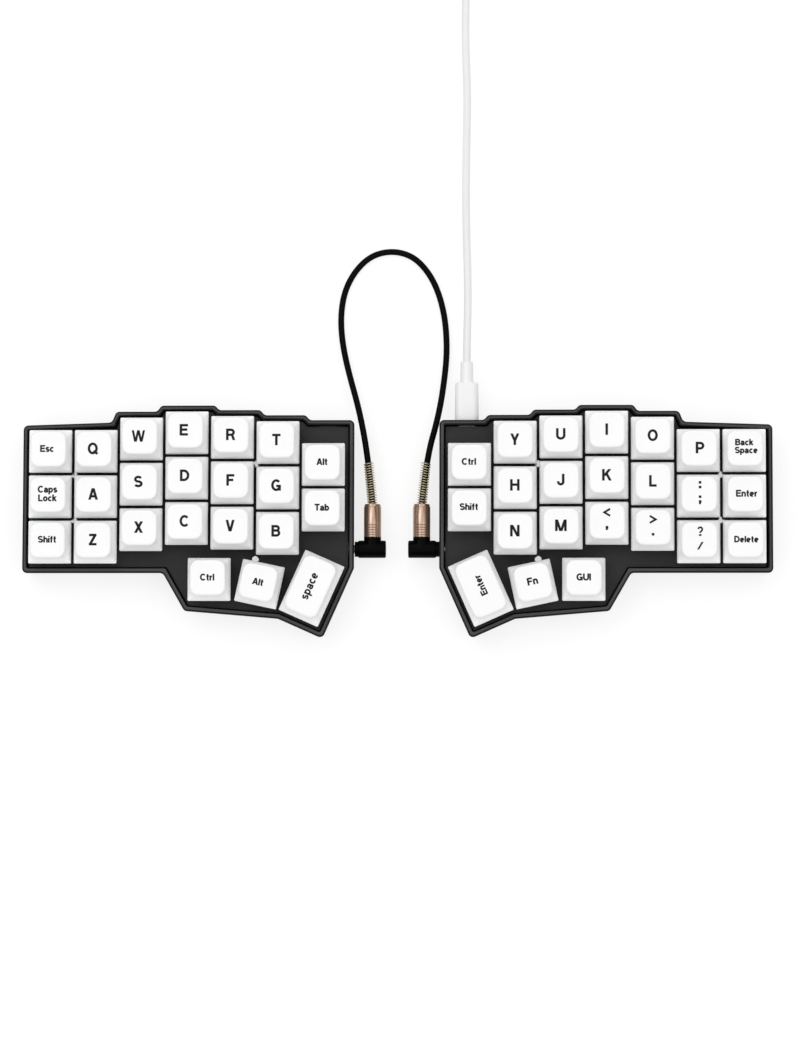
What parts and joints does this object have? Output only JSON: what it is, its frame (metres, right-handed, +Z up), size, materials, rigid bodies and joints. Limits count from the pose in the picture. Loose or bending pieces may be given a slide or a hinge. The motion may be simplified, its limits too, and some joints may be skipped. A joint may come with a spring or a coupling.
{
  "type": "split ergonomic keyboard",
  "caption": "Column-staggered split keyboard: two mirrored black halves with white keys and angled thumb keys, joined by a looped cord, with a USB lead.",
  "frame": {"origin": "on the desk, midway between the two halves and at the middle of their depth", "axes": "+X from the left half to the right one, +Y from the typist to the back, +Z up from the desk"},
  "size_m": [0.3138, 0.3314, 0.0277],
  "materials": {
    "keycap": "fine matte, with dark printed characters",
    "case": "matte black",
    "plate": "matte black powder coat",
    "screw": "satin",
    "foot": "matte",
    "housing": "glossy black, with a light grey lower part",
    "spring_metal": "gilt",
    "board": "dark solder mask",
    "link_plug": "glossy black, with a copper barrel",
    "link_spring": "bronze",
    "link_cord": "semi-matte black",
    "usb_cord": "matte white",
    "usb_plug": "satin white, with a steel shell"
  },
  "bodies": {
    "chassis": {"circuit_boards": "board", "left_case": "case", "link_cord": "link_cord", "link_plugs": "link_plug", "link_springs": "link_spring", "plate_screws": "screw", "right_case": "case", "rubber_feet": "foot", "switch_housings": "housing", "switch_plates": "plate", "switch_springs_and_contacts": "spring_metal", "usb_coil": "usb_cord", "usb_cord": "usb_cord", "usb_plugs": "usb_plug"},
    "key_a": {"key_a": "keycap"},
    "key_b": {"key_b": "keycap"},
    "key_backspace": {"key_backspace": "keycap"},
    "key_c": {"key_c": "keycap"},
    "key_caps_lock": {"key_caps_lock": "keycap"},
    "key_comma": {"key_comma": "keycap"},
    "key_d": {"key_d": "keycap"},
    "key_delete": {"key_delete": "keycap"},
    "key_e": {"key_e": "keycap"},
    "key_enter": {"key_enter": "keycap"},
    "key_esc": {"key_esc": "keycap"},
    "key_f": {"key_f": "keycap"},
    "key_fn": {"key_fn": "keycap"},
    "key_g": {"key_g": "keycap"},
    "key_gui": {"key_gui": "keycap"},
    "key_h": {"key_h": "keycap"},
    "key_i": {"key_i": "keycap"},
    "key_j": {"key_j": "keycap"},
    "key_k": {"key_k": "keycap"},
    "key_l": {"key_l": "keycap"},
    "key_left_ctrl": {"key_left_ctrl": "keycap"},
    "key_left_shift": {"key_left_shift": "keycap"},
    "key_m": {"key_m": "keycap"},
    "key_n": {"key_n": "keycap"},
    "key_o": {"key_o": "keycap"},
    "key_p": {"key_p": "keycap"},
    "key_period": {"key_period": "keycap"},
    "key_q": {"key_q": "keycap"},
    "key_r": {"key_r": "keycap"},
    "key_right_ctrl": {"key_right_ctrl": "keycap"},
    "key_right_shift": {"key_right_shift": "keycap"},
    "key_s": {"key_s": "keycap"},
    "key_semicolon": {"key_semicolon": "keycap"},
    "key_slash": {"key_slash": "keycap"},
    "key_space": {"key_space": "keycap"},
    "key_t": {"key_t": "keycap"},
    "key_tab": {"key_tab": "keycap"},
    "key_thumb_alt": {"key_thumb_alt": "keycap"},
    "key_thumb_enter": {"key_thumb_enter": "keycap"},
    "key_u": {"key_u": "keycap"},
    "key_upper_alt": {"key_upper_alt": "keycap"},
    "key_v": {"key_v": "keycap"},
    "key_w": {"key_w": "keycap"},
    "key_x": {"key_x": "keycap"},
    "key_y": {"key_y": "keycap"},
    "key_z": {"key_z": "keycap"}
  },
  "joints": [
    {"name": "press_a", "type": "slide", "parent": "chassis", "child": "key_a", "axis": [0, 0, -1], "range_m": [0, 0.004], "stiffness_N_per_m": 75, "springref_m": -0.005, "deforming": ["switch_springs_and_contacts"]},
    {"name": "press_b", "type": "slide", "parent": "chassis", "child": "key_b", "axis": [0, 0, -1], "range_m": [0, 0.004], "stiffness_N_per_m": 75, "springref_m": -0.005, "deforming": ["switch_springs_and_contacts"]},
    {"name": "press_backspace", "type": "slide", "parent": "chassis", "child": "key_backspace", "axis": [0, 0, -1], "range_m": [0, 0.004], "stiffness_N_per_m": 75, "springref_m": -0.005, "deforming": ["switch_springs_and_contacts"]},
    {"name": "press_c", "type": "slide", "parent": "chassis", "child": "key_c", "axis": [0, 0, -1], "range_m": [0, 0.004], "stiffness_N_per_m": 75, "springref_m": -0.005, "deforming": ["switch_springs_and_contacts"]},
    {"name": "press_caps_lock", "type": "slide", "parent": "chassis", "child": "key_caps_lock", "axis": [0, 0, -1], "range_m": [0, 0.004], "stiffness_N_per_m": 75, "springref_m": -0.005, "deforming": ["switch_springs_and_contacts"]},
    {"name": "press_comma", "type": "slide", "parent": "chassis", "child": "key_comma", "axis": [0, 0, -1], "range_m": [0, 0.004], "stiffness_N_per_m": 75, "springref_m": -0.005, "deforming": ["switch_springs_and_contacts"]},
    {"name": "press_d", "type": "slide", "parent": "chassis", "child": "key_d", "axis": [0, 0, -1], "range_m": [0, 0.004], "stiffness_N_per_m": 75, "springref_m": -0.005, "deforming": ["switch_springs_and_contacts"]},
    {"name": "press_delete", "type": "slide", "parent": "chassis", "child": "key_delete", "axis": [0, 0, -1], "range_m": [0, 0.004], "stiffness_N_per_m": 75, "springref_m": -0.005, "deforming": ["switch_springs_and_contacts"]},
    {"name": "press_e", "type": "slide", "parent": "chassis", "child": "key_e", "axis": [0, 0, -1], "range_m": [0, 0.004], "stiffness_N_per_m": 75, "springref_m": -0.005, "deforming": ["switch_springs_and_contacts"]},
    {"name": "press_enter", "type": "slide", "parent": "chassis", "child": "key_enter", "axis": [0, 0, -1], "range_m": [0, 0.004], "stiffness_N_per_m": 75, "springref_m": -0.005, "deforming": ["switch_springs_and_contacts"]},
    {"name": "press_esc", "type": "slide", "parent": "chassis", "child": "key_esc", "axis": [0, 0, -1], "range_m": [0, 0.004], "stiffness_N_per_m": 75, "springref_m": -0.005, "deforming": ["switch_springs_and_contacts"]},
    {"name": "press_f", "type": "slide", "parent": "chassis", "child": "key_f", "axis": [0, 0, -1], "range_m": [0, 0.004], "stiffness_N_per_m": 75, "springref_m": -0.005, "deforming": ["switch_springs_and_contacts"]},
    {"name": "press_fn", "type": "slide", "parent": "chassis", "child": "key_fn", "axis": [0, 0, -1], "range_m": [0, 0.004], "stiffness_N_per_m": 75, "springref_m": -0.005, "deforming": ["switch_springs_and_contacts"]},
    {"name": "press_g", "type": "slide", "parent": "chassis", "child": "key_g", "axis": [0, 0, -1], "range_m": [0, 0.004], "stiffness_N_per_m": 75, "springref_m": -0.005, "deforming": ["switch_springs_and_contacts"]},
    {"name": "press_gui", "type": "slide", "parent": "chassis", "child": "key_gui", "axis": [0, 0, -1], "range_m": [0, 0.004], "stiffness_N_per_m": 75, "springref_m": -0.005, "deforming": ["switch_springs_and_contacts"]},
    {"name": "press_h", "type": "slide", "parent": "chassis", "child": "key_h", "axis": [0, 0, -1], "range_m": [0, 0.004], "stiffness_N_per_m": 75, "springref_m": -0.005, "deforming": ["switch_springs_and_contacts"]},
    {"name": "press_i", "type": "slide", "parent": "chassis", "child": "key_i", "axis": [0, 0, -1], "range_m": [0, 0.004], "stiffness_N_per_m": 75, "springref_m": -0.005, "deforming": ["switch_springs_and_contacts"]},
    {"name": "press_j", "type": "slide", "parent": "chassis", "child": "key_j", "axis": [0, 0, -1], "range_m": [0, 0.004], "stiffness_N_per_m": 75, "springref_m": -0.005, "deforming": ["switch_springs_and_contacts"]},
    {"name": "press_k", "type": "slide", "parent": "chassis", "child": "key_k", "axis": [0, 0, -1], "range_m": [0, 0.004], "stiffness_N_per_m": 75, "springref_m": -0.005, "deforming": ["switch_springs_and_contacts"]},
    {"name": "press_l", "type": "slide", "parent": "chassis", "child": "key_l", "axis": [0, 0, -1], "range_m": [0, 0.004], "stiffness_N_per_m": 75, "springref_m": -0.005, "deforming": ["switch_springs_and_contacts"]},
    {"name": "press_left_ctrl", "type": "slide", "parent": "chassis", "child": "key_left_ctrl", "axis": [0, 0, -1], "range_m": [0, 0.004], "stiffness_N_per_m": 75, "springref_m": -0.005, "deforming": ["switch_springs_and_contacts"]},
    {"name": "press_left_shift", "type": "slide", "parent": "chassis", "child": "key_left_shift", "axis": [0, 0, -1], "range_m": [0, 0.004], "stiffness_N_per_m": 75, "springref_m": -0.005, "deforming": ["switch_springs_and_contacts"]},
    {"name": "press_m", "type": "slide", "parent": "chassis", "child": "key_m", "axis": [0, 0, -1], "range_m": [0, 0.004], "stiffness_N_per_m": 75, "springref_m": -0.005, "deforming": ["switch_springs_and_contacts"]},
    {"name": "press_n", "type": "slide", "parent": "chassis", "child": "key_n", "axis": [0, 0, -1], "range_m": [0, 0.004], "stiffness_N_per_m": 75, "springref_m": -0.005, "deforming": ["switch_springs_and_contacts"]},
    {"name": "press_o", "type": "slide", "parent": "chassis", "child": "key_o", "axis": [0, 0, -1], "range_m": [0, 0.004], "stiffness_N_per_m": 75, "springref_m": -0.005, "deforming": ["switch_springs_and_contacts"]},
    {"name": "press_p", "type": "slide", "parent": "chassis", "child": "key_p", "axis": [0, 0, -1], "range_m": [0, 0.004], "stiffness_N_per_m": 75, "springref_m": -0.005, "deforming": ["switch_springs_and_contacts"]},
    {"name": "press_period", "type": "slide", "parent": "chassis", "child": "key_period", "axis": [0, 0, -1], "range_m": [0, 0.004], "stiffness_N_per_m": 75, "springref_m": -0.005, "deforming": ["switch_springs_and_contacts"]},
    {"name": "press_q", "type": "slide", "parent": "chassis", "child": "key_q", "axis": [0, 0, -1], "range_m": [0, 0.004], "stiffness_N_per_m": 75, "springref_m": -0.005, "deforming": ["switch_springs_and_contacts"]},
    {"name": "press_r", "type": "slide", "parent": "chassis", "child": "key_r", "axis": [0, 0, -1], "range_m": [0, 0.004], "stiffness_N_per_m": 75, "springref_m": -0.005, "deforming": ["switch_springs_and_contacts"]},
    {"name": "press_right_ctrl", "type": "slide", "parent": "chassis", "child": "key_right_ctrl", "axis": [0, 0, -1], "range_m": [0, 0.004], "stiffness_N_per_m": 75, "springref_m": -0.005, "deforming": ["switch_springs_and_contacts"]},
    {"name": "press_right_shift", "type": "slide", "parent": "chassis", "child": "key_right_shift", "axis": [0, 0, -1], "range_m": [0, 0.004], "stiffness_N_per_m": 75, "springref_m": -0.005, "deforming": ["switch_springs_and_contacts"]},
    {"name": "press_s", "type": "slide", "parent": "chassis", "child": "key_s", "axis": [0, 0, -1], "range_m": [0, 0.004], "stiffness_N_per_m": 75, "springref_m": -0.005, "deforming": ["switch_springs_and_contacts"]},
    {"name": "press_semicolon", "type": "slide", "parent": "chassis", "child": "key_semicolon", "axis": [0, 0, -1], "range_m": [0, 0.004], "stiffness_N_per_m": 75, "springref_m": -0.005, "deforming": ["switch_springs_and_contacts"]},
    {"name": "press_slash", "type": "slide", "parent": "chassis", "child": "key_slash", "axis": [0, 0, -1], "range_m": [0, 0.004], "stiffness_N_per_m": 75, "springref_m": -0.005, "deforming": ["switch_springs_and_contacts"]},
    {"name": "press_space", "type": "slide", "parent": "chassis", "child": "key_space", "axis": [0, 0, -1], "range_m": [0, 0.004], "stiffness_N_per_m": 75, "springref_m": -0.005, "deforming": ["switch_springs_and_contacts"]},
    {"name": "press_t", "type": "slide", "parent": "chassis", "child": "key_t", "axis": [0, 0, -1], "range_m": [0, 0.004], "stiffness_N_per_m": 75, "springref_m": -0.005, "deforming": ["switch_springs_and_contacts"]},
    {"name": "press_tab", "type": "slide", "parent": "chassis", "child": "key_tab", "axis": [0, 0, -1], "range_m": [0, 0.004], "stiffness_N_per_m": 75, "springref_m": -0.005, "deforming": ["switch_springs_and_contacts"]},
    {"name": "press_thumb_alt", "type": "slide", "parent": "chassis", "child": "key_thumb_alt", "axis": [0, 0, -1], "range_m": [0, 0.004], "stiffness_N_per_m": 75, "springref_m": -0.005, "deforming": ["switch_springs_and_contacts"]},
    {"name": "press_thumb_enter", "type": "slide", "parent": "chassis", "child": "key_thumb_enter", "axis": [0, 0, -1], "range_m": [0, 0.004], "stiffness_N_per_m": 75, "springref_m": -0.005, "deforming": ["switch_springs_and_contacts"]},
    {"name": "press_u", "type": "slide", "parent": "chassis", "child": "key_u", "axis": [0, 0, -1], "range_m": [0, 0.004], "stiffness_N_per_m": 75, "springref_m": -0.005, "deforming": ["switch_springs_and_contacts"]},
    {"name": "press_upper_alt", "type": "slide", "parent": "chassis", "child": "key_upper_alt", "axis": [0, 0, -1], "range_m": [0, 0.004], "stiffness_N_per_m": 75, "springref_m": -0.005, "deforming": ["switch_springs_and_contacts"]},
    {"name": "press_v", "type": "slide", "parent": "chassis", "child": "key_v", "axis": [0, 0, -1], "range_m": [0, 0.004], "stiffness_N_per_m": 75, "springref_m": -0.005, "deforming": ["switch_springs_and_contacts"]},
    {"name": "press_w", "type": "slide", "parent": "chassis", "child": "key_w", "axis": [0, 0, -1], "range_m": [0, 0.004], "stiffness_N_per_m": 75, "springref_m": -0.005, "deforming": ["switch_springs_and_contacts"]},
    {"name": "press_x", "type": "slide", "parent": "chassis", "child": "key_x", "axis": [0, 0, -1], "range_m": [0, 0.004], "stiffness_N_per_m": 75, "springref_m": -0.005, "deforming": ["switch_springs_and_contacts"]},
    {"name": "press_y", "type": "slide", "parent": "chassis", "child": "key_y", "axis": [0, 0, -1], "range_m": [0, 0.004], "stiffness_N_per_m": 75, "springref_m": -0.005, "deforming": ["switch_springs_and_contacts"]},
    {"name": "press_z", "type": "slide", "parent": "chassis", "child": "key_z", "axis": [0, 0, -1], "range_m": [0, 0.004], "stiffness_N_per_m": 75, "springref_m": -0.005, "deforming": ["switch_springs_and_contacts"]}
  ]
}
